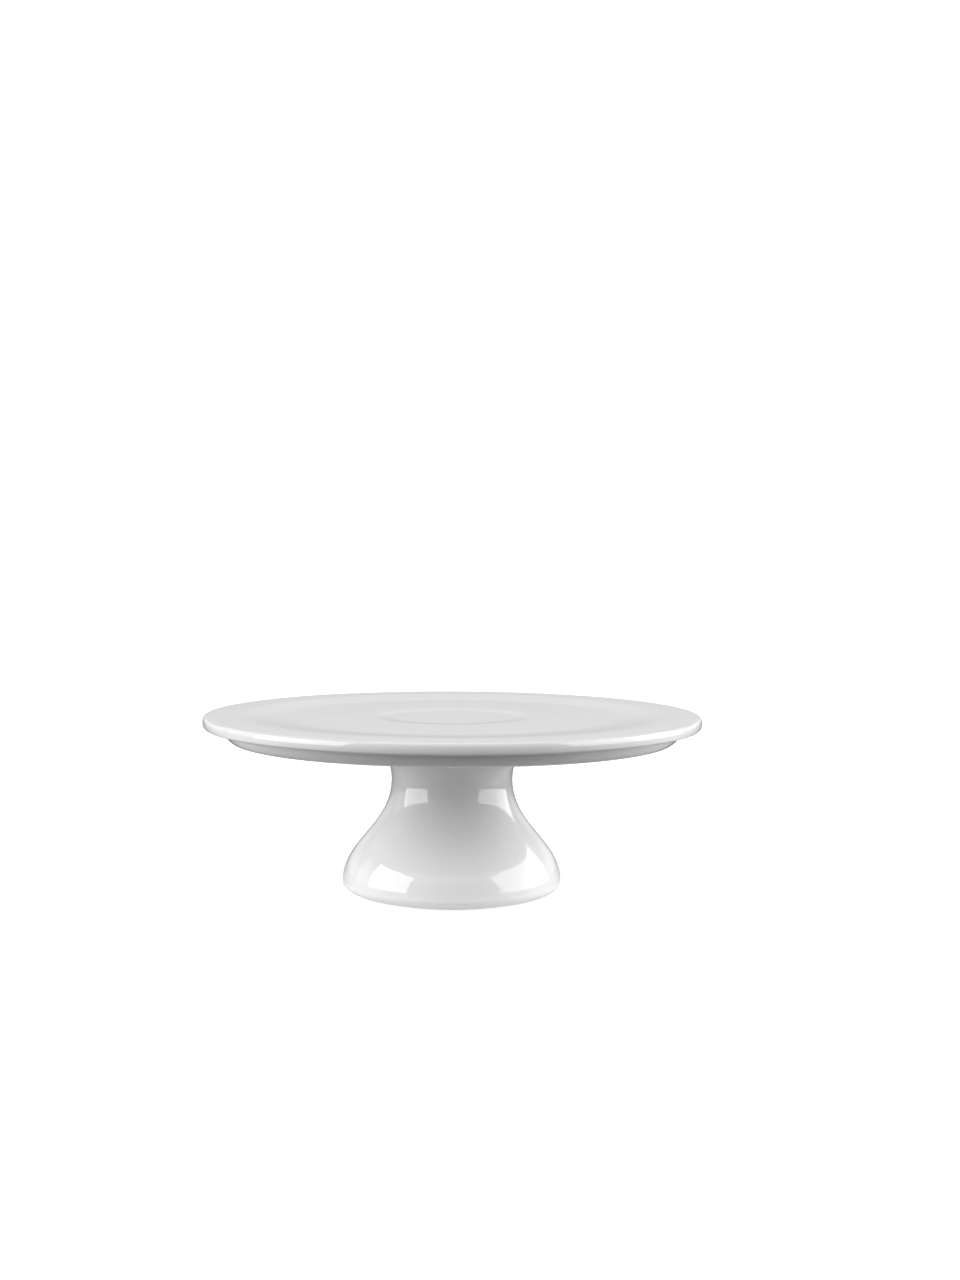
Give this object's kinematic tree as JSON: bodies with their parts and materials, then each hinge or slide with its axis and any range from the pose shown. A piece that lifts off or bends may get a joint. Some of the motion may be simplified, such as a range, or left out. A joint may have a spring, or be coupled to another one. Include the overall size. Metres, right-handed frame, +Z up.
{
  "type": "cake stand",
  "caption": "Low footed cake stand in glazed white porcelain: a flat round plate with a shallow well and a rounded rim, on a hollow bell-shaped pedestal.",
  "frame": {"origin": "on the table, at the centre of the pedestal's foot", "axes": "+Z up, along the axis that the plate and the pedestal are turned about; X and Y lie in the table"},
  "size_m": [0.246, 0.246, 0.0905],
  "materials": {
    "plate_glaze": "clear glossy glaze over white porcelain",
    "pedestal_glaze": "clear glossy glaze over white porcelain, left bare and matt on the foot ring",
    "joint_glaze": "clear glossy glaze pooled over the sponged slip"
  },
  "bodies": {
    "root": {"plate": "plate_glaze", "pedestal": "pedestal_glaze", "slip_joint": "joint_glaze"}
  },
  "joints": []
}
